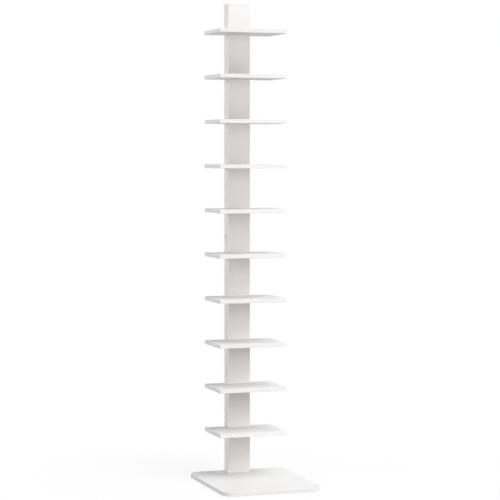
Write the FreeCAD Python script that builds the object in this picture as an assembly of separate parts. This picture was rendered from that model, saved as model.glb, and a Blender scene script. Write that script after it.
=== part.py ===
import FreeCAD, Part
import math
import os

# A tall open bookshelf. One hollow column, the spine, stands at the rear of a wide base board and
# carries ten shelf boards, each notched at the rear so that it reaches round the front of the spine.
# The front faces -Y, up is +Z, and the origin lies on the floor under the middle of the base board.

# Base board
base_width = 400.0
base_depth = 480.0
base_thickness = 15.0
base_corner_radius = 46.0

# Pads under the base board
pad_diameter = 24.0
pad_thickness = 3.0
pad_inset = 34.0
pad_edge_chamfer = 0.6

# Shelf boards
shelf_count = 10
shelf_width = 278.0
shelf_depth = 204.0
shelf_thickness = 15.0
shelf_corner_radius = 3.0
lowest_shelf_rise = 185.0
notch_depth = 24.0
notch_clearance = 0.3

# Edge bands of the shelf boards and the base board
band_thickness = 1.0
band_edge_radius = 0.8

# Spine, a box of boards in a lower and an upper half
spine_height = 1890.0
spine_width = 92.0
spine_depth = 52.0
spine_board_thickness = 15.0
back_panel_thickness = 3.0
spine_edge_radius = 1.5
seam_groove_depth = 0.4
spine_rear_inset = 2.0
spine_rise = 112.0
seam_rise = 20.0

# Blocks inside the spine
foot_block_height = 60.0
splice_block_height = 220.0
top_block_height = 40.0
driver_bore_diameter = 12.0

# Pilot holes for a wall fixing, in the rear of the spine's top
wall_hole_diameter = 4.0
wall_hole_spacing = 32.0
wall_hole_drop = 20.0
wall_hole_depth = 25.0

# One-piece connecting screws of the shelves and of the spine's foot
connector_length = 50.0
connector_head_diameter = 10.0
connector_neck_diameter = 7.0
connector_neck_length = 15.0
connector_thread_diameter = 5.0
connector_tip_diameter = 3.0
connector_tip_length = 4.0
connector_wall_distance = 13.0

# Wooden dowels
dowel_diameter = 8.0
dowel_length = 30.0
dowel_chamfer = 1.0
dowel_cover = 5.0
dowel_end_gap = 1.0
dowel_edge_distance = 13.0

# Bolts and threaded inserts of the splice and of the base
bolt_diameter = 6.0
bolt_end_chamfer = 0.8
splice_bolt_rise = 44.0
splice_bolt_head_diameter = 10.5
splice_bolt_head_height = 3.2
base_bolt_length = 34.0
base_bolt_head_diameter = 12.0
insert_diameter = 10.0
insert_length = 13.0

# Hexagon sockets of the bolts and connecting screws
socket_width = 4.0
socket_depth = 2.6

# Cross recesses of the other screws
recess_span = 4.2
recess_floor_span = 1.8
recess_slot = 1.0
recess_depth = 1.4

# Countersunk screws that hold the blocks to the front boards
block_screw_length = 45.0
block_screw_diameter = 4.0
block_screw_head_diameter = 8.0
block_screw_tip_diameter = 1.5
block_screw_tip_length = 5.0
block_screw_inset = 12.0
block_screw_spacing = 32.0

# Round-headed screws of the back panels
panel_screw_rows = 6
panel_screw_end_distance = 25.0
panel_screw_length = 12.0
panel_screw_diameter = 3.0
panel_screw_head_diameter = 7.0
panel_screw_head_height = 1.9
panel_screw_tip_diameter = 1.2
panel_screw_tip_length = 4.0

# Room left round fasteners, and the overrun of every cut
fit_clearance = 0.1
overrun = 1.0
fuzz = 0.001

# Heights: the shelves share out the spine evenly, and its seam lies just above half of them
base_bottom = pad_thickness
base_top = base_bottom + base_thickness
spine_top = base_top + spine_height
shelf_pitch = (spine_height - lowest_shelf_rise - spine_rise) / (shelf_count - 1)
shelf_tops = [base_top + lowest_shelf_rise + index * shelf_pitch for index in range(shelf_count)]
shelf_middles = [top - shelf_thickness / 2 for top in shelf_tops]
lower_shelves = shelf_count // 2
seam = shelf_tops[lower_shelves - 1] + seam_rise
foot_block_top = base_top + foot_block_height
splice_block_bottom = seam - splice_block_height / 2
splice_block_top = seam + splice_block_height / 2
top_block_bottom = spine_top - top_block_height
splice_bolt_height = seam + splice_bolt_rise
wall_hole_height = spine_top - wall_hole_drop

# Depths, from the front of the shelves to the rear of the spine
spine_rear = base_depth / 2 - spine_rear_inset
spine_front = spine_rear - spine_depth
cavity_front = spine_front + spine_board_thickness
cavity_rear = spine_rear - back_panel_thickness
cavity_middle = (cavity_front + cavity_rear) / 2
front_board_middle = (spine_front + cavity_front) / 2
shelf_rear = spine_front + notch_depth
shelf_front = shelf_rear - shelf_depth
shelf_centre = (shelf_front + shelf_rear) / 2

# Half widths, and the places of fasteners across the spine
half_spine = spine_width / 2
half_cavity = half_spine - spine_board_thickness
side_middle = (half_spine + half_cavity) / 2
connector_offset = half_cavity - connector_wall_distance
dowel_offset = half_spine - dowel_edge_distance
dowel_depth_in_front_board = spine_board_thickness - dowel_cover
dowel_depth_in_base = base_thickness - dowel_cover

up = FreeCAD.Vector(0, 0, 1)
rearward = FreeCAD.Vector(0, 1, 0)
forward = FreeCAD.Vector(0, -1, 0)
sides = (-1, 1)


def save(node, shape):
    shape.exportStep("parts/" + node + ".step")


def save_group(node, solids):
    save(node, Part.makeCompound(solids))


def box(x_low, x_high, y_low, y_high, z_low, z_high):
    corner = FreeCAD.Vector(x_low, y_low, z_low)
    return Part.makeBox(x_high - x_low, y_high - y_low, z_high - z_low, corner)


def aimed(shape, place, direction):
    # Turns a shape made along +Z so that it starts at the place and runs in the direction.
    shape.Placement = FreeCAD.Placement(place, FreeCAD.Rotation(up, direction))
    return shape


def turned(outline, place, direction):
    # A solid of revolution from (radius, distance along the axis) pairs.
    first = FreeCAD.Vector(0, 0, outline[0][1])
    last = FreeCAD.Vector(0, 0, outline[-1][1])
    corners = [FreeCAD.Vector(radius, 0, along) for radius, along in outline]
    face = Part.Face(Part.makePolygon([first] + corners + [last, first]))
    return aimed(face.revolve(FreeCAD.Vector(0, 0, 0), up, 360), place, direction)


def socket(place, direction):
    # The hexagon socket of a head whose flat top lies at the place.
    radius = socket_width / 2 / math.cos(math.radians(30))
    angles = [math.radians(60 * corner) for corner in range(7)]
    corners = [FreeCAD.Vector(radius * math.cos(a), radius * math.sin(a), -overrun) for a in angles]
    prism = Part.Face(Part.makePolygon(corners)).extrude(up * (socket_depth + overrun))
    return aimed(prism, place, direction)


def cross(span, along):
    # The outline of a cross recess at one depth: the same three corners in each quarter.
    arm = span / 2
    slot = recess_slot / 2
    quarter = [FreeCAD.Vector(x, y, along) for x, y in ((arm, -slot), (arm, slot), (slot, slot))]
    turns = [FreeCAD.Rotation(up, 90 * turn) for turn in range(4)]
    corners = [turn.multVec(corner) for turn in turns for corner in quarter]
    return Part.makePolygon(corners + corners[:1])


def recess(place, direction):
    # The cross recess of a head whose top lies at the place; it narrows towards its floor.
    mouth = [cross(recess_span, along) for along in (-overrun, 0)]
    floor = cross(recess_floor_span, recess_depth)
    return aimed(Part.makeLoft(mouth + [floor], True, True), place, direction)


def dome(diameter, height, place, direction):
    # A head in the form of a spherical cap, flat on the place and crowned against the direction.
    radius = diameter / 2
    ball = (radius ** 2 + height ** 2) / (2 * height)
    latitude = math.degrees(math.asin((ball - height) / ball))
    return Part.makeSphere(ball, place + direction * (ball - height), -direction, latitude, 90, 360)


def bore(diameter, depth, place, direction):
    radius = diameter / 2
    return turned([(radius, -overrun), (radius, depth)], place, direction)


def drilled(board, holes):
    # Cuts only the holes that reach the board.
    tools = [hole for hole in holes if hole.BoundBox.intersect(board.BoundBox)]
    return board.cut(tools) if tools else board


# Boards with an edge band: a rounded plate, rounded along its edges, whose rim is the band
def rounded_plate(width, depth, corner_radius, thickness):
    plate = box(-width / 2, width / 2, -depth / 2, depth / 2, 0, thickness)
    upright = [edge for edge in plate.Edges if edge.BoundBox.ZLength > fuzz]
    return plate.makeFillet(corner_radius, upright)


def banded_board(width, depth, corner_radius, thickness):
    plate = rounded_plate(width, depth, corner_radius, thickness)
    rims = [edge for edge in plate.Edges if edge.BoundBox.ZLength < fuzz]
    eased = plate.makeFillet(band_edge_radius, rims)
    core_width = width - 2 * band_thickness
    core_depth = depth - 2 * band_thickness
    core = rounded_plate(core_width, core_depth, corner_radius - band_thickness, thickness)
    return core, eased.cut(core)


# Fasteners: each outline runs from the head to the tip, and grows by a clearance to make its hole
def connector_outline(clearance):
    head = connector_head_diameter / 2
    neck = connector_neck_diameter / 2
    thread = connector_thread_diameter / 2
    tip = connector_tip_diameter / 2
    return [
        (head + clearance, 0),
        (neck + clearance, head - neck),
        (neck + clearance, connector_neck_length + clearance),
        (thread + clearance, connector_neck_length + clearance),
        (thread + clearance, connector_length - connector_tip_length + clearance),
        (tip + clearance, connector_length + clearance),
    ]


def connector(place, direction):
    screw = turned(connector_outline(0), place, direction)
    return screw.cut(socket(place, direction))


def connector_hole(place, direction):
    mouth = connector_head_diameter / 2 + fit_clearance
    return turned([(mouth, -overrun)] + connector_outline(fit_clearance), place, direction)


def dowel(place, direction):
    radius = dowel_diameter / 2
    outline = [
        (radius - dowel_chamfer, 0),
        (radius, dowel_chamfer),
        (radius, dowel_length - dowel_chamfer),
        (radius - dowel_chamfer, dowel_length),
    ]
    return turned(outline, place, direction)


def dowel_hole(place, direction):
    radius = dowel_diameter / 2 + fit_clearance
    return turned([(radius, 0), (radius, dowel_length + dowel_end_gap)], place, direction)


def block_screw_outline(clearance):
    head = block_screw_head_diameter / 2
    shank = block_screw_diameter / 2
    tip = block_screw_tip_diameter / 2
    return [
        (head + clearance, 0),
        (shank + clearance, head - shank),
        (shank + clearance, block_screw_length - block_screw_tip_length + clearance),
        (tip + clearance, block_screw_length + clearance),
    ]


def block_screw(place, direction):
    return turned(block_screw_outline(0), place, direction).cut(recess(place, direction))


def block_screw_hole(place, direction):
    mouth = block_screw_head_diameter / 2 + fit_clearance
    return turned([(mouth, -overrun)] + block_screw_outline(fit_clearance), place, direction)


def panel_screw_shank(clearance):
    shank = panel_screw_diameter / 2
    tip = panel_screw_tip_diameter / 2
    return [
        (shank + clearance, 0),
        (shank + clearance, panel_screw_length - panel_screw_tip_length + clearance),
        (tip + clearance, panel_screw_length + clearance),
    ]


def panel_screw(place, direction):
    head = dome(panel_screw_head_diameter, panel_screw_head_height, place, direction)
    screw = head.fuse(turned(panel_screw_shank(0), place, direction)).removeSplitter()
    return screw.cut(recess(place - direction * panel_screw_head_height, direction))


def panel_screw_hole(place, direction):
    mouth = panel_screw_diameter / 2 + fit_clearance
    return turned([(mouth, -overrun)] + panel_screw_shank(fit_clearance), place, direction)


def bolt_shank(start, length):
    shank = bolt_diameter / 2
    return [(shank, start), (shank, length - bolt_end_chamfer), (shank - bolt_end_chamfer, length)]


def splice_bolt(place, direction):
    # A button head on the face of the side board; the shank ends level with the insert.
    head = dome(splice_bolt_head_diameter, splice_bolt_head_height, place, direction)
    shank = turned(bolt_shank(0, spine_board_thickness + insert_length), place, direction)
    bolt = head.fuse(shank).removeSplitter()
    return bolt.cut(socket(place - direction * splice_bolt_head_height, direction))


def base_bolt(place, direction):
    # A countersunk head, flush with the underside of the base board.
    rim = base_bolt_head_diameter / 2
    taper = rim - bolt_diameter / 2
    bolt = turned([(rim, 0)] + bolt_shank(taper, base_bolt_length), place, direction)
    return bolt.cut(socket(place, direction))


def base_bolt_hole(place, direction):
    rim = base_bolt_head_diameter / 2 + fit_clearance
    shank = bolt_diameter / 2 + fit_clearance
    outline = [(rim, -overrun), (rim, 0), (shank, rim - shank), (shank, base_bolt_length + fit_clearance)]
    return turned(outline, place, direction)


def insert(place, direction):
    sleeve = turned([(insert_diameter / 2, 0), (insert_diameter / 2, insert_length)], place, direction)
    thread = bolt_diameter + 2 * fit_clearance
    return sleeve.cut(bore(thread, insert_length + overrun, place, direction))


def insert_hole(place, direction):
    return bore(insert_diameter + 2 * fit_clearance, insert_length, place, direction)


# Where every fastener starts, and which way it runs
connector_spots = [
    FreeCAD.Vector(side * connector_offset, cavity_front, height)
    for height in shelf_middles
    for side in sides
]
shelf_dowel_spots = [
    FreeCAD.Vector(side * dowel_offset, spine_front + dowel_depth_in_front_board, height)
    for height in shelf_middles
    for side in sides
]
gap_middles = [base_top + (lowest_shelf_rise - shelf_thickness) / 2]
gap_middles += [top + (shelf_pitch - shelf_thickness) / 2 for top in shelf_tops[:-1]]
side_dowel_heights = [height for gap, height in enumerate(gap_middles) if gap != lower_shelves]
side_dowel_spots = [
    FreeCAD.Vector(side * side_middle, cavity_front - dowel_depth_in_front_board, height)
    for height in side_dowel_heights
    for side in sides
]
base_screw_spots = [FreeCAD.Vector(side * side_middle, cavity_middle, base_bottom) for side in sides]
base_bolt_spots = [FreeCAD.Vector(side * connector_offset, cavity_middle, base_bottom) for side in sides]
base_insert_spots = [FreeCAD.Vector(side * connector_offset, cavity_middle, base_top) for side in sides]
base_dowel_spots = [
    FreeCAD.Vector(side * dowel_offset, front_board_middle, base_top - dowel_depth_in_base)
    for side in sides
]
splice_aims = [FreeCAD.Vector(-side, 0, 0) for side in sides]
splice_bolt_spots = [
    FreeCAD.Vector(side * half_spine, cavity_middle, splice_bolt_height) for side in sides
]
splice_insert_spots = [
    FreeCAD.Vector(side * half_cavity, cavity_middle, splice_bolt_height) for side in sides
]
block_bottoms = (base_top, splice_block_bottom)
block_screw_heights = [bottom + block_screw_inset for bottom in block_bottoms]
block_screw_heights += [height + block_screw_spacing for height in block_screw_heights]
block_screw_heights += [top_block_bottom + top_block_height / 2]
block_screw_spots = [FreeCAD.Vector(0, cavity_rear, height) for height in block_screw_heights]


def panel_screw_places(bottom, top):
    low = bottom + panel_screw_end_distance
    step = (top - bottom - 2 * panel_screw_end_distance) / (panel_screw_rows - 1)
    heights = [low + row * step for row in range(panel_screw_rows)]
    return [FreeCAD.Vector(side * side_middle, spine_rear, height) for height in heights for side in sides]


panel_screw_spots = panel_screw_places(base_top, seam) + panel_screw_places(seam, spine_top)
wall_hole_spots = [
    FreeCAD.Vector(side * wall_hole_spacing / 2, spine_rear, wall_hole_height) for side in sides
]

# Holes that the boards and blocks share with their fasteners
connector_holes = [connector_hole(spot, forward) for spot in connector_spots]
shelf_dowel_holes = [dowel_hole(spot, forward) for spot in shelf_dowel_spots]
side_dowel_holes = [dowel_hole(spot, rearward) for spot in side_dowel_spots]
base_screw_holes = [connector_hole(spot, up) for spot in base_screw_spots]
base_bolt_holes = [base_bolt_hole(spot, up) for spot in base_bolt_spots]
base_insert_holes = [insert_hole(spot, up) for spot in base_insert_spots]
base_dowel_holes = [dowel_hole(spot, up) for spot in base_dowel_spots]
block_screw_holes = [block_screw_hole(spot, forward) for spot in block_screw_spots]
panel_screw_holes = [panel_screw_hole(spot, forward) for spot in panel_screw_spots]
wall_holes = [bore(wall_hole_diameter, wall_hole_depth, spot, forward) for spot in wall_hole_spots]
bolt_hole_diameter = bolt_diameter + 2 * fit_clearance
splice_bolt_holes = [
    bore(bolt_hole_diameter, spine_board_thickness + overrun, spot, aim)
    for spot, aim in zip(splice_bolt_spots, splice_aims)
]
splice_insert_holes = [insert_hole(spot, aim) for spot, aim in zip(splice_insert_spots, splice_aims)]

os.makedirs("parts", exist_ok=True)

# Base board, its edge band and the pads
base_core, base_band = banded_board(base_width, base_depth, base_corner_radius, base_thickness)
base_core.translate(up * base_bottom)
base_band.translate(up * base_bottom)
save("base_board", drilled(base_core, base_bolt_holes + base_screw_holes + base_dowel_holes))
save("base_edge_band", base_band)

pad_radius = pad_diameter / 2
pad_outline = [
    (pad_radius - pad_edge_chamfer, 0),
    (pad_radius, pad_edge_chamfer),
    (pad_radius, pad_thickness),
]
pad_x = base_width / 2 - pad_inset
pad_y = base_depth / 2 - pad_inset
pad_spots = [FreeCAD.Vector(x * pad_x, y * pad_y, 0) for x in sides for y in sides]
save_group("foot_pads", [turned(pad_outline, spot, up) for spot in pad_spots])

# Shelf boards and their edge bands, numbered from the base upwards
notch_half_width = half_spine + notch_clearance
notch = box(
    -notch_half_width, notch_half_width,
    spine_front, shelf_rear + overrun,
    base_top, spine_top,
)
for index, top in enumerate(shelf_tops):
    core, band = banded_board(shelf_width, shelf_depth, shelf_corner_radius, shelf_thickness)
    place = FreeCAD.Vector(0, shelf_centre, top - shelf_thickness)
    core.translate(place)
    band.translate(place)
    name = "shelf_%02d" % (index + 1)
    save(name, drilled(core.cut(notch), connector_holes + shelf_dowel_holes))
    save(name + "_edge_band", band.cut(notch))

# Spine: the outer form, rounded at the front and at the top and scored along its seams, is parted
# into boards and blocks
def groove(start, end):
    # A fine V along a seam, as two eased edges leave it: a square bar, on edge, sunk to its middle.
    depth = seam_groove_depth
    corners = [(depth, 0), (0, depth), (-depth, 0), (0, -depth), (depth, 0)]
    outline = Part.makePolygon([FreeCAD.Vector(x, y, 0) for x, y in corners])
    run = end - start
    return aimed(Part.Face(outline).extrude(up * run.Length), start, run)


spine_form = box(-half_spine, half_spine, spine_front, spine_rear, base_top, spine_top)
front_edges = [
    edge for edge in spine_form.Edges
    if edge.BoundBox.ZLength > fuzz and edge.BoundBox.YMax < spine_front + fuzz
]
spine_form = spine_form.makeFillet(spine_edge_radius, front_edges)
top_face = max(spine_form.Faces, key=lambda face: face.CenterOfMass.z)
spine_form = spine_form.makeFillet(spine_edge_radius, top_face.Edges)

seam_lines = []
for x in (-half_spine, half_spine):
    seam_lines += [(x, y, base_top, x, y, spine_top) for y in (cavity_front, cavity_rear)]
    seam_lines += [(x, spine_front, seam, x, spine_rear, seam)]
for y in (spine_front, spine_rear):
    seam_lines += [(-half_spine, y, seam, half_spine, y, seam)]
for x in (-half_cavity, half_cavity):
    seam_lines += [(x, cavity_front, spine_top, x, cavity_rear, spine_top)]
for y in (cavity_front, cavity_rear):
    seam_lines += [(-half_spine, y, spine_top, half_spine, y, spine_top)]
grooves = [groove(FreeCAD.Vector(*line[:3]), FreeCAD.Vector(*line[3:])) for line in seam_lines]
spine_form = spine_form.cut(grooves)

front_holes = connector_holes + shelf_dowel_holes + side_dowel_holes + base_dowel_holes + block_screw_holes
side_holes = side_dowel_holes + base_screw_holes + splice_bolt_holes + panel_screw_holes
for half, bottom, top in (("lower", base_top, seam), ("upper", seam, spine_top)):
    front_space = box(-half_spine, half_spine, spine_front, cavity_front, bottom, top)
    left_space = box(-half_spine, -half_cavity, cavity_front, cavity_rear, bottom, top)
    right_space = box(half_cavity, half_spine, cavity_front, cavity_rear, bottom, top)
    back_space = box(-half_spine, half_spine, cavity_rear, spine_rear, bottom, top)
    save("spine_%s_front" % half, drilled(spine_form.common(front_space), front_holes))
    save("spine_%s_left" % half, drilled(spine_form.common(left_space), side_holes))
    save("spine_%s_right" % half, drilled(spine_form.common(right_space), side_holes))
    save("spine_%s_back" % half, drilled(spine_form.common(back_space), panel_screw_holes + wall_holes))

# Blocks inside the spine; the splice block is bored so that a driver reaches the screws in front of it
driver_bores = [
    bore(driver_bore_diameter, spine_depth, spot, rearward)
    for spot in connector_spots
    if splice_block_bottom < spot.z < splice_block_top
]
foot_space = box(-half_cavity, half_cavity, cavity_front, cavity_rear, base_top, foot_block_top)
splice_space = box(
    -half_cavity, half_cavity,
    cavity_front, cavity_rear,
    splice_block_bottom, splice_block_top,
)
top_space = box(-half_cavity, half_cavity, cavity_front, cavity_rear, top_block_bottom, spine_top)
foot_holes = base_bolt_holes + base_insert_holes + block_screw_holes
save("spine_foot_block", drilled(spine_form.common(foot_space), foot_holes))
splice_holes = driver_bores + splice_insert_holes + block_screw_holes
save("spine_splice_block", drilled(spine_form.common(splice_space), splice_holes))
save("spine_top_block", drilled(spine_form.common(top_space), block_screw_holes + wall_holes))

# Fasteners, each kind a group
save_group("shelf_screws", [connector(spot, forward) for spot in connector_spots])
save_group("shelf_dowels", [dowel(spot, forward) for spot in shelf_dowel_spots])
save_group("spine_dowels", [dowel(spot, rearward) for spot in side_dowel_spots])
save_group("base_screws", [connector(spot, up) for spot in base_screw_spots])
save_group("base_bolts", [base_bolt(spot, up) for spot in base_bolt_spots])
save_group("base_inserts", [insert(spot, up) for spot in base_insert_spots])
save_group("base_dowels", [dowel(spot, up) for spot in base_dowel_spots])
save_group("block_screws", [block_screw(spot, forward) for spot in block_screw_spots])
save_group("panel_screws", [panel_screw(spot, forward) for spot in panel_screw_spots])
save_group("splice_bolts", [splice_bolt(spot, aim) for spot, aim in zip(splice_bolt_spots, splice_aims)])
save_group("splice_inserts", [insert(spot, aim) for spot, aim in zip(splice_insert_spots, splice_aims)])
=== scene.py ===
import math
import bpy
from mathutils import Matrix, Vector


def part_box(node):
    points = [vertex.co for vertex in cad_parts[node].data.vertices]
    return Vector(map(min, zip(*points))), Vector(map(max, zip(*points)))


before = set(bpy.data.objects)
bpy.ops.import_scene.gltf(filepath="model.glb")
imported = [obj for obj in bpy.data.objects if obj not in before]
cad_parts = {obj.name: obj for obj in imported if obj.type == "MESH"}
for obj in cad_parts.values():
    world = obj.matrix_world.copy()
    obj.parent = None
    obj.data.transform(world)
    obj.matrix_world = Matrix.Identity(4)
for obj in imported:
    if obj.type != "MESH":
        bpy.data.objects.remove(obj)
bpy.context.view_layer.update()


# Base board: a 15 mm chipboard panel faced on both sides with white melamine, with four round corners.
# The press plate leaves a fine pearl in the face. The spine stands on it and is bolted on from below.
def put(tree, kind, feeds=None, **settings):
    """Adds one shader node; feeds maps a socket to a value, or to the socket that drives it."""
    added = tree.nodes.new(kind)
    for name, value in settings.items():
        setattr(added, name, value)
    for socket, value in (feeds or {}).items():
        if isinstance(value, bpy.types.NodeSocket):
            tree.links.new(value, added.inputs[socket])
        else:
            added.inputs[socket].default_value = value
    return added


def reckon(tree, operation, first, second=0.0):
    """One step of arithmetic on two values."""
    return put(tree, "ShaderNodeMath", {0: first, 1: second}, operation=operation).outputs[0]


def mottle(tree, place, scale, detail, roughness=0.5):
    """Cloudy noise, a value that lies mostly between 0.3 and 0.7."""
    feeds = {"Vector": place, "Scale": scale, "Detail": detail, "Roughness": roughness}
    return put(tree, "ShaderNodeTexNoise", feeds).outputs[0]


def ranged(tree, value, span=(0.0, 1.0), result=(0.0, 1.0)):
    """Eases a value from its span to the result's span, and holds it there beyond both ends."""
    feeds = {"Value": value, "From Min": span[0], "From Max": span[1]}
    feeds.update({"To Min": result[0], "To Max": result[1]})
    return put(tree, "ShaderNodeMapRange", feeds, interpolation_type="SMOOTHSTEP").outputs[0]


def tinted(tree, mask, plain, other, share=None):
    """Mixes the other colour into the plain one by the mask, or by a share of the mask."""
    if share is not None:
        mask = reckon(tree, "MULTIPLY", mask, share)
    mix = put(tree, "ShaderNodeMix", {0: mask, 6: plain, 7: other}, data_type="RGBA")
    return mix.outputs[2]


def effect(name, takes, gives):
    """A shader node group; returns it with its input sockets and its output sockets."""
    tree = bpy.data.node_groups.new(name, "ShaderNodeTree")
    for direction, sockets in (("INPUT", takes), ("OUTPUT", gives)):
        for socket in sockets:
            kind = "NodeSocketVector" if socket in ("Position", "Normal") else "NodeSocketFloat"
            tree.interface.new_socket(socket, in_out=direction, socket_type=kind)
    return tree, tree.nodes.new("NodeGroupInput").outputs, tree.nodes.new("NodeGroupOutput").inputs


def apply(tree, group, **feeds):
    """Places an effect in a material with its own values; returns what the effect gives."""
    sockets = {name.replace("_", " "): value for name, value in feeds.items()}
    return put(tree, "ShaderNodeGroup", sockets, node_tree=group).outputs


def new_finish(name):
    """An empty material; returns it with its nodes and the place on the object."""
    material = bpy.data.materials.new(name)
    material.use_nodes = True
    tree = material.node_tree
    tree.nodes.clear()
    return material, tree, put(tree, "ShaderNodeTexCoord").outputs["Object"]


def facing_of(tree):
    """The direction in which the surface faces."""
    return put(tree, "ShaderNodeNewGeometry").outputs["Normal"]


def relief(tree, height, depth, strength=1.0):
    """Fine relief of a given depth in metres."""
    feeds = {"Height": height, "Distance": depth, "Strength": strength}
    return put(tree, "ShaderNodeBump", feeds).outputs[0]


def surface(tree, colour, dullness, normal, metallic=0.0):
    """The material's own shader, with its output."""
    feeds = {"Base Color": colour, "Roughness": dullness, "Normal": normal, "Metallic": metallic}
    shader = put(tree, "ShaderNodeBsdfPrincipled", feeds)
    put(tree, "ShaderNodeOutputMaterial", {"Surface": shader.outputs[0]})


def cover(names, material):
    """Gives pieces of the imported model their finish."""
    for name in names:
        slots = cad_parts[name].data.materials
        slots.clear()
        slots.append(material)


# The pearl that a press plate leaves in melamine, with the faint patches of a wiped, used face
most_noise = (0.3, 0.7)
middle_noise = (0.35, 0.65)
wipe_turn = (0.0, 0.0, 0.5)
wipe_squeeze = (1.0, 9.0, 9.0)
pearl, take, give = effect("pressed pearl", ["Position", "Pearls", "Patches"], ["Height", "Tone", "Sheen"])
beads = mottle(pearl, take["Position"], take["Pearls"], detail=2.0)
drift = mottle(pearl, take["Position"], take["Patches"], detail=3.0)
sweep = {"Vector": take["Position"], "Rotation": wipe_turn, "Scale": wipe_squeeze}
swept = put(pearl, "ShaderNodeMapping", sweep).outputs[0]
wipes = mottle(pearl, swept, take["Patches"], detail=5.0, roughness=0.6)
pearl.links.new(ranged(pearl, beads, most_noise), give["Height"])
pearl.links.new(ranged(pearl, drift, middle_noise), give["Tone"])
pearl.links.new(ranged(pearl, wipes, most_noise), give["Sheen"])

# Dust that settles in drifts and specks on faces that look up
level_faces = (0.8, 0.98)
drift_scale = 24.0
drift_span = (0.3, 0.75)
speck_scale = 900.0
speck_span = (0.35, 0.75)
speck_range = (0.5, 1.0)
dust, take, give = effect("settled dust", ["Position", "Normal"], ["Mask"])
upward = put(dust, "ShaderNodeSeparateXYZ", {0: take["Normal"]}).outputs["Z"]
drifts = mottle(dust, take["Position"], drift_scale, detail=6.0, roughness=0.65)
drifts = ranged(dust, drifts, drift_span)
specks = mottle(dust, take["Position"], speck_scale, detail=1.0)
specks = ranged(dust, specks, speck_span, speck_range)
lying = reckon(dust, "MULTIPLY", drifts, specks)
lying = reckon(dust, "MULTIPLY", ranged(dust, upward, level_faces), lying)
dust.links.new(lying, give["Mask"])

# The glue line where a face meets its edge band, from the outline of a rectangle with round corners
line_fade = (1.0, 0.4)
outline = ["Position", "Middle", "Half Width", "Half Depth", "Corner", "Line"]
glue, take, give = effect("glue line", outline, ["Mask"])
split = put(glue, "ShaderNodeSeparateXYZ", {0: take["Position"]}).outputs
across = reckon(glue, "ABSOLUTE", split["X"])
along = reckon(glue, "ABSOLUTE", reckon(glue, "SUBTRACT", split["Y"], take["Middle"]))
over_x = reckon(glue, "ADD", reckon(glue, "SUBTRACT", across, take["Half Width"]), take["Corner"])
over_y = reckon(glue, "ADD", reckon(glue, "SUBTRACT", along, take["Half Depth"]), take["Corner"])
square_x = reckon(glue, "POWER", reckon(glue, "MAXIMUM", over_x, 0.0), 2.0)
square_y = reckon(glue, "POWER", reckon(glue, "MAXIMUM", over_y, 0.0), 2.0)
outside = reckon(glue, "SQRT", reckon(glue, "ADD", square_x, square_y))
inside = reckon(glue, "MINIMUM", reckon(glue, "MAXIMUM", over_x, over_y), 0.0)
reach = reckon(glue, "SUBTRACT", reckon(glue, "ADD", outside, inside), take["Corner"])
near = reckon(glue, "DIVIDE", reckon(glue, "ABSOLUTE", reach), take["Line"])
glue.links.new(ranged(glue, near, line_fade), give["Mask"])

melamine_white = (0.868, 0.855, 0.846, 1.0)
melamine_patch = (0.860, 0.847, 0.837, 1.0)
melamine_pearls = 1500.0
melamine_patches = 9.0
melamine_depth = 0.00004
melamine_dullness = (0.36, 0.50)
dust_grey = (0.700, 0.685, 0.660, 1.0)
dust_share = 0.05
dust_dulling = 0.12
glue_grey = (0.520, 0.500, 0.470, 1.0)
glue_share = 0.5
glue_width = 0.0003


def melamine(name, board, corner):
    """The finish of a faced board; corner is the radius of the board's corners inside its edge band."""
    material, tree, place = new_finish(name)
    face = apply(tree, pearl, Position=place, Pearls=melamine_pearls, Patches=melamine_patches)
    lying = apply(tree, dust, Position=place, Normal=facing_of(tree))["Mask"]
    low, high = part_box(board)
    middle = (low.y + high.y) / 2
    half_width = (high.x - low.x) / 2
    half_depth = (high.y - low.y) / 2
    line = apply(
        tree, glue, Position=place, Middle=middle, Half_Width=half_width, Half_Depth=half_depth,
        Corner=corner, Line=glue_width,
    )["Mask"]
    white = tinted(tree, face["Tone"], melamine_white, melamine_patch)
    white = tinted(tree, lying, white, dust_grey, dust_share)
    white = tinted(tree, line, white, glue_grey, glue_share)
    dull = ranged(tree, face["Sheen"], result=melamine_dullness)
    dull = reckon(tree, "ADD", dull, reckon(tree, "MULTIPLY", lying, dust_dulling))
    surface(tree, white, dull, relief(tree, face["Height"], melamine_depth))
    return material


base_core_corner = 0.045
cover(["base_board"], melamine("base_melamine", "base_board", base_core_corner))


# Edge band of the base board: a 1 mm strip of white plastic, glued round the rim in one length.
# Its two edges are rounded over, and handling has greyed and polished them a little.

# Wear along rounded edges: the level ones, and a share of the upright ones
rounded_span = (0.1, 0.6)
rub_scale = 60.0
rub_range = (0.3, 1.0)
arris, take, give = effect("worn arris", ["Position", "Normal", "Upright"], ["Mask"])
lean = put(arris, "ShaderNodeVectorMath", {0: take["Normal"]}, operation="ABSOLUTE").outputs[0]
split = put(arris, "ShaderNodeSeparateXYZ", {0: lean}).outputs
level = reckon(arris, "MAXIMUM", split["X"], split["Y"])
rims = reckon(arris, "MINIMUM", level, split["Z"])
posts = reckon(arris, "MINIMUM", split["X"], split["Y"])
posts = reckon(arris, "MULTIPLY", posts, take["Upright"])
rounded = ranged(arris, reckon(arris, "MAXIMUM", rims, posts), rounded_span)
rubs = mottle(arris, take["Position"], rub_scale, detail=4.0, roughness=0.6)
rubs = ranged(arris, rubs, middle_noise, rub_range)
arris.links.new(reckon(arris, "MULTIPLY", rounded, rubs), give["Mask"])

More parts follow.
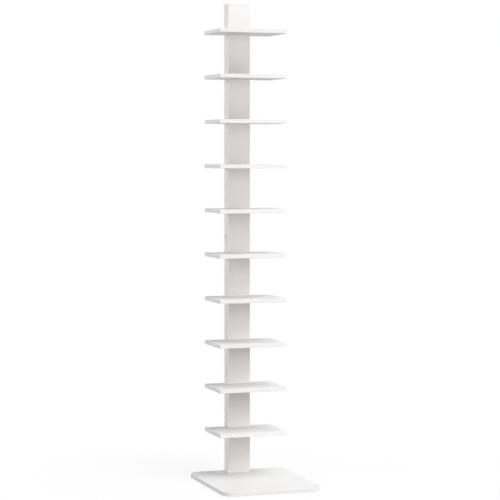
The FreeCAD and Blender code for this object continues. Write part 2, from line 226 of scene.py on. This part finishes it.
band_white = (0.872, 0.859, 0.850, 1.0)
band_streak = (0.863, 0.850, 0.841, 1.0)
band_lines = (40.0, 40.0, 2600.0)
band_depth = 0.00003
band_dullness = (0.40, 0.48)
rub_grey = (0.660, 0.645, 0.625, 1.0)
band_rub_share = 0.10
band_polish = 0.12
plastic, tree, place = new_finish("edge_band_plastic")
facing = facing_of(tree)
drawn = put(tree, "ShaderNodeMapping", {"Vector": place, "Scale": band_lines}).outputs[0]
lines = mottle(tree, drawn, 1.0, detail=3.0)
rub = apply(tree, arris, Position=place, Normal=facing, Upright=0.0)["Mask"]
lying = apply(tree, dust, Position=place, Normal=facing)["Mask"]
white = tinted(tree, ranged(tree, lines, most_noise), band_white, band_streak)
white = tinted(tree, rub, white, rub_grey, band_rub_share)
white = tinted(tree, lying, white, dust_grey, dust_share)
dull = ranged(tree, lines, most_noise, band_dullness)
dull = reckon(tree, "SUBTRACT", dull, reckon(tree, "MULTIPLY", rub, band_polish))
surface(tree, white, dull, relief(tree, lines, band_depth))
cover(["base_edge_band"], plastic)


# Foot pads: four discs of dark cellular rubber, stuck under the corners of the base board.
# They carry the whole shelf. The cut rubber shows its open cells, smeared over in places.
rubber_dark = (0.030, 0.030, 0.031, 1.0)
rubber_worn = (0.085, 0.083, 0.080, 1.0)
cell_scale = 1300.0
cell_span = (0.15, 0.55)
cell_depth = 0.00015
cell_strength = 0.6
smear_scale = 120.0
rubber_dullness = (0.72, 0.9)
rubber, tree, place = new_finish("pad_rubber")
cells = put(tree, "ShaderNodeTexVoronoi", {"Vector": place, "Scale": cell_scale}).outputs["Distance"]
pores = ranged(tree, cells, cell_span)
smear = mottle(tree, place, smear_scale, detail=4.0)
bared = reckon(tree, "MULTIPLY", pores, ranged(tree, smear, most_noise))
black = tinted(tree, bared, rubber_dark, rubber_worn)
dull = ranged(tree, smear, most_noise, rubber_dullness)
surface(tree, black, dull, relief(tree, pores, cell_depth, cell_strength))
cover(["foot_pads"], rubber)


# Foot of the spine: two bolts with threaded inserts, two connecting screws and two beech dowels.
# The steel is turned and zinc plated; the dowels are turned beech with the fibres along them.

# The marks that turning leaves, and the dull bloom of the zinc
bloom_scale = 260.0
turning, take, give = effect("turned steel", ["Position", "Marks"], ["Height", "Tone"])
marks = mottle(turning, take["Position"], take["Marks"], detail=4.0, roughness=0.6)
bloom = mottle(turning, take["Position"], bloom_scale, detail=2.0)
turning.links.new(marks, give["Height"])
turning.links.new(ranged(turning, bloom, most_noise), give["Tone"])

zinc_bright = (0.560, 0.565, 0.575, 1.0)
zinc_bloom = (0.440, 0.445, 0.450, 1.0)
zinc_marks = 2200.0
zinc_depth = 0.00003
zinc_dullness = (0.30, 0.46)
zinc, tree, place = new_finish("zinc_plated_steel")
turned = apply(tree, turning, Position=place, Marks=zinc_marks)
grey = tinted(tree, turned["Tone"], zinc_bright, zinc_bloom)
dull = ranged(tree, turned["Tone"], result=zinc_dullness)
surface(tree, grey, dull, relief(tree, turned["Height"], zinc_depth), metallic=1.0)
cover(["base_bolts", "base_inserts", "base_screws"], zinc)

# Growth rings and fibres of plain wood, with the fibres upright in the position given
bend_scale = 9.0
bend_reach = (0.012, 0.012, 0.0)
ring_waver = {"Distortion": 1.2, "Detail": 2.0}
fibre_stretch = (1.0, 1.0, 0.04)
timber, take, give = effect("plain timber", ["Position", "Rings", "Fibres"], ["Ring", "Fibre"])
bend = {"Vector": take["Position"], "Scale": bend_scale, "Detail": 1.0}
bent = put(timber, "ShaderNodeTexNoise", bend).outputs["Color"]
offset = put(timber, "ShaderNodeVectorMath", {0: bent, 1: bend_reach}, operation="MULTIPLY").outputs[0]
wavy = put(timber, "ShaderNodeVectorMath", {0: take["Position"], 1: offset}, operation="ADD").outputs[0]
shells = put(
    timber, "ShaderNodeTexWave", {"Vector": wavy, "Scale": take["Rings"], **ring_waver},
    wave_type="RINGS", rings_direction="Z", wave_profile="SAW",
)
drawn = put(timber, "ShaderNodeMapping", {"Vector": take["Position"], "Scale": fibre_stretch}).outputs[0]
strands = mottle(timber, drawn, take["Fibres"], detail=4.0)
timber.links.new(shells.outputs["Fac"], give["Ring"])
timber.links.new(ranged(timber, strands, most_noise), give["Fibre"])

beech_tan = (0.560, 0.390, 0.240, 1.0)
beech_pale = (0.660, 0.490, 0.320, 1.0)
beech_ring = (0.480, 0.310, 0.180, 1.0)
beech_ring_share = 0.25
beech_rings = 60.0
beech_fibres = 2400.0
beech_depth = 0.00012
beech_dullness = (0.55, 0.72)


def beech(name, turn):
    """Dowel wood whose fibres run along the dowels; turn brings that direction upright."""
    material, tree, place = new_finish(name)
    upright = put(tree, "ShaderNodeMapping", {"Vector": place, "Rotation": turn}).outputs[0]
    wood = apply(tree, timber, Position=upright, Rings=beech_rings, Fibres=beech_fibres)
    tan = tinted(tree, wood["Fibre"], beech_tan, beech_pale)
    tan = tinted(tree, wood["Ring"], tan, beech_ring, beech_ring_share)
    dull = ranged(tree, wood["Fibre"], result=beech_dullness)
    surface(tree, tan, dull, relief(tree, wood["Fibre"], beech_depth))
    return material


cover(["base_dowels"], beech("upright_beech", (0.0, 0.0, 0.0)))


# Spine boards: each half is a front board with two side boards behind it, all 15 mm fibreboard.
# A white foil is wrapped round their edges and over the block that closes the top, so that only fine
# seams show. Beech dowels line the boards up.
foil_white = (0.868, 0.852, 0.842, 1.0)
foil_patch = (0.860, 0.843, 0.832, 1.0)
foil_turn = (0.0, math.radians(90), 0.0)
foil_pearls = 2100.0
foil_patches = 7.0
foil_depth = 0.00003
foil_dullness = (0.42, 0.54)
foil_rub_share = 0.18
foil_polish = 0.10
foil, tree, place = new_finish("wrapped_foil")
facing = facing_of(tree)
upright = put(tree, "ShaderNodeMapping", {"Vector": place, "Rotation": foil_turn}).outputs[0]
face = apply(tree, pearl, Position=upright, Pearls=foil_pearls, Patches=foil_patches)
rub = apply(tree, arris, Position=place, Normal=facing, Upright=1.0)["Mask"]
lying = apply(tree, dust, Position=place, Normal=facing)["Mask"]
white = tinted(tree, face["Tone"], foil_white, foil_patch)
white = tinted(tree, rub, white, rub_grey, foil_rub_share)
white = tinted(tree, lying, white, dust_grey, dust_share)
dull = ranged(tree, face["Sheen"], result=foil_dullness)
dull = reckon(tree, "SUBTRACT", dull, reckon(tree, "MULTIPLY", rub, foil_polish))
surface(tree, white, dull, relief(tree, face["Height"], foil_depth))
for half in ("lower", "upper"):
    cover(["spine_%s_%s" % (half, board) for board in ("front", "left", "right")], foil)
cover(["spine_top_block"], foil)
beech_through = beech("level_beech", (math.radians(90), 0.0, 0.0))
cover(["spine_dowels"], beech_through)


# Blocks inside the spine: sawn softwood, screwed to the front boards. The foot block takes the base
# bolts, and the long splice block joins the two halves with a bolt through each side.
softwood_tan = (0.640, 0.490, 0.310, 1.0)
softwood_pale = (0.720, 0.580, 0.400, 1.0)
softwood_ring = (0.520, 0.330, 0.170, 1.0)
softwood_ring_share = 0.45
softwood_heart = (0.04, -0.19, 0.0)
softwood_rings = 55.0
softwood_fibres = 1500.0
softwood_depth = 0.0002
softwood_dullness = (0.62, 0.80)
softwood, tree, place = new_finish("sawn_softwood")
log_place = put(tree, "ShaderNodeMapping", {"Vector": place, "Location": softwood_heart}).outputs[0]
wood = apply(tree, timber, Position=log_place, Rings=softwood_rings, Fibres=softwood_fibres)
pale = tinted(tree, wood["Fibre"], softwood_tan, softwood_pale)
pale = tinted(tree, wood["Ring"], pale, softwood_ring, softwood_ring_share)
dull = ranged(tree, wood["Fibre"], result=softwood_dullness)
surface(tree, pale, dull, relief(tree, wood["Fibre"], softwood_depth))
cover(["spine_foot_block", "spine_splice_block"], softwood)
cover(["block_screws", "splice_inserts", "splice_bolts"], zinc)


# Shelf boards: ten pieces of the same faced chipboard, notched at the rear to reach round the spine.
# Each is edged in the same plastic and held by two screws and two dowels from inside the spine.
shelf_core_corner = 0.002
shelf_count = 10
shelves = ["shelf_%02d" % number for number in range(1, shelf_count + 1)]
cover(shelves, melamine("shelf_melamine", shelves[0], shelf_core_corner))
cover([shelf + "_edge_band" for shelf in shelves], plastic)
cover(["shelf_screws"], zinc)
cover(["shelf_dowels"], beech_through)


# Back panels: two strips of 3 mm hardboard, lacquered white outside, that close the spine last.
# Round-headed screws hold them to the side boards, with the heads left showing.
lacquer_white = (0.838, 0.826, 0.815, 1.0)
lacquer_thin = (0.800, 0.785, 0.768, 1.0)
peel_scale = 700.0
pulp_scale = 2600.0
pulp_span = (0.45, 0.75)
cloud_scale = 14.0
cloud_range = (0.3, 1.0)
lacquer_depth = 0.00005
lacquer_dullness = (0.48, 0.62)
lacquer, tree, place = new_finish("lacquered_hardboard")
peel = mottle(tree, place, peel_scale, detail=2.0)
pulp = mottle(tree, place, pulp_scale, detail=3.0, roughness=0.7)
cloud = mottle(tree, place, cloud_scale, detail=4.0)
thin = ranged(tree, cloud, middle_noise, cloud_range)
thin = reckon(tree, "MULTIPLY", ranged(tree, pulp, pulp_span), thin)
white = tinted(tree, thin, lacquer_white, lacquer_thin)
dull = ranged(tree, cloud, most_noise, lacquer_dullness)
surface(tree, white, dull, relief(tree, reckon(tree, "ADD", peel, pulp), lacquer_depth))
cover(["spine_lower_back", "spine_upper_back"], lacquer)
cover(["panel_screws"], zinc)


# Studio floor: plain white paper that keeps the shelf's soft shadow and runs out into plain white.
# For light that bounces it is grey, so that the undersides of the shelves stay in the shade.
def seen_straight(tree):
    """1 for what the camera sees, in gloss and through glass too, and 0 for light that bounces."""
    rays = put(tree, "ShaderNodeLightPath").outputs
    seen = reckon(tree, "MAXIMUM", rays["Is Camera Ray"], rays["Is Glossy Ray"])
    return reckon(tree, "MAXIMUM", seen, rays["Is Transmission Ray"])


floor_reach = 15.0
floor_mesh = bpy.data.meshes.new("studio_floor")
floor_corners = [(-floor_reach, -floor_reach, 0.0), (floor_reach, -floor_reach, 0.0)]
floor_corners += [(floor_reach, floor_reach, 0.0), (-floor_reach, floor_reach, 0.0)]
floor_mesh.from_pydata(floor_corners, [], [(0, 1, 2, 3)])
floor = bpy.data.objects.new("studio_floor", floor_mesh)
bpy.context.scene.collection.objects.link(floor)

pure_white = (1.0, 1.0, 1.0, 1.0)
paper_shade = (0.95, 0.95, 0.95, 1.0)
paper_white = (0.97, 0.97, 0.97, 1.0)
bounce_grey = (0.25, 0.25, 0.25, 1.0)
tooth_scale = 300.0
shadow_reach = (0.35, 1.3)
plain_share = (0.90, 1.0)
paper, tree, place = new_finish("floor_paper")
seen = seen_straight(tree)
tooth = mottle(tree, place, tooth_scale, detail=3.0)
shade = tinted(tree, ranged(tree, tooth, most_noise), paper_shade, paper_white)
shade = tinted(tree, seen, bounce_grey, shade)
matt = put(tree, "ShaderNodeBsdfDiffuse", {"Color": shade}).outputs[0]
plain = put(tree, "ShaderNodeEmission", {"Color": pure_white, "Strength": 1.0}).outputs[0]
apart = put(tree, "ShaderNodeVectorMath", {0: place}, operation="LENGTH").outputs["Value"]
bare = reckon(tree, "MULTIPLY", seen, ranged(tree, apart, shadow_reach, plain_share))
blend = put(tree, "ShaderNodeMixShader", {0: bare, 1: matt, 2: plain}).outputs[0]
put(tree, "ShaderNodeOutputMaterial", {"Surface": blend})
floor_mesh.materials.append(paper)


# Studio light: a soft key lamp and a higher one at the front right, a broad panel at the front, low
# fills at the left, the right and the rear, and a faint even fill. The camera sees plain white behind.
fill_strength = 0.06
world = bpy.data.worlds.new("studio_white")
world.use_nodes = True
bpy.context.scene.world = world
tree = world.node_tree
tree.nodes.clear()
fill = put(tree, "ShaderNodeBackground", {"Color": pure_white, "Strength": fill_strength}).outputs[0]
backdrop = put(tree, "ShaderNodeBackground", {"Color": pure_white, "Strength": 1.0}).outputs[0]
mixed = put(tree, "ShaderNodeMixShader", {0: seen_straight(tree), 1: fill, 2: backdrop}).outputs[0]
put(tree, "ShaderNodeOutputWorld", {"Surface": mixed})


def heading(turn, dip):
    """A direction, in degrees: straight ahead into the scene, turned to the right and dipped."""
    turn, dip = math.radians(turn), math.radians(dip)
    return Vector((math.sin(turn) * math.cos(dip), math.cos(turn) * math.cos(dip), -math.sin(dip)))


def set_up(name, device, direction, place=(0.0, 0.0, 0.0)):
    """Stands a lamp or a camera at a place, pointed in a direction."""
    stand = bpy.data.objects.new(name, device)
    stand.location = place
    stand.rotation_euler = direction.to_track_quat("-Z", "Y").to_euler()
    bpy.context.scene.collection.objects.link(stand)
    return stand


def far_lamp(name, azimuth, elevation, spread, strength, gleams=False):
    """An even lamp far off; azimuth is measured from the front of the shelf towards its right."""
    lamp = bpy.data.lights.new(name, "SUN")
    lamp.energy = strength
    lamp.angle = math.radians(spread)
    set_up(name, lamp, heading(-azimuth, elevation)).visible_glossy = gleams


far_lamp("key_light", azimuth=28.0, elevation=45.0, spread=35.0, strength=1.72, gleams=True)
far_lamp("top_light", azimuth=28.0, elevation=75.0, spread=40.0, strength=0.97, gleams=True)
far_lamp("left_fill", azimuth=-90.0, elevation=4.0, spread=25.0, strength=1.95)
far_lamp("right_fill", azimuth=130.0, elevation=2.0, spread=3.0, strength=1.00)
far_lamp("rear_fill", azimuth=180.0, elevation=2.0, spread=3.0, strength=1.05)

panel_place = Vector((1.0, -3.0, 1.35))
panel_aim = Vector((0.0, 0.1, 1.35))
panel = bpy.data.lights.new("front_panel", "AREA")
panel.shape = "RECTANGLE"
panel.size = 2.4
panel.size_y = 2.0
panel.energy = 54.6
panel_stand = set_up("front_panel", panel, panel_aim - panel_place, panel_place)
panel_stand.visible_camera = False
panel_stand.visible_glossy = False


# Camera: a long lens at chest height, to the left of the front, where the photograph was taken from.
# Its place, direction and focal length are those that were fitted to the photograph.
camera_place = (-2.30438, -6.71244, 1.30485)
camera_turn = 18.8154
camera_dip = 3.0324
lens = bpy.data.cameras.new("photo_camera")
lens.sensor_width = 36.0
lens.lens = 129.98
lens.clip_end = 100.0
camera = set_up("photo_camera", lens, heading(camera_turn, camera_dip), camera_place)
bpy.context.scene.camera = camera
bpy.context.scene.view_settings.view_transform = "Standard"
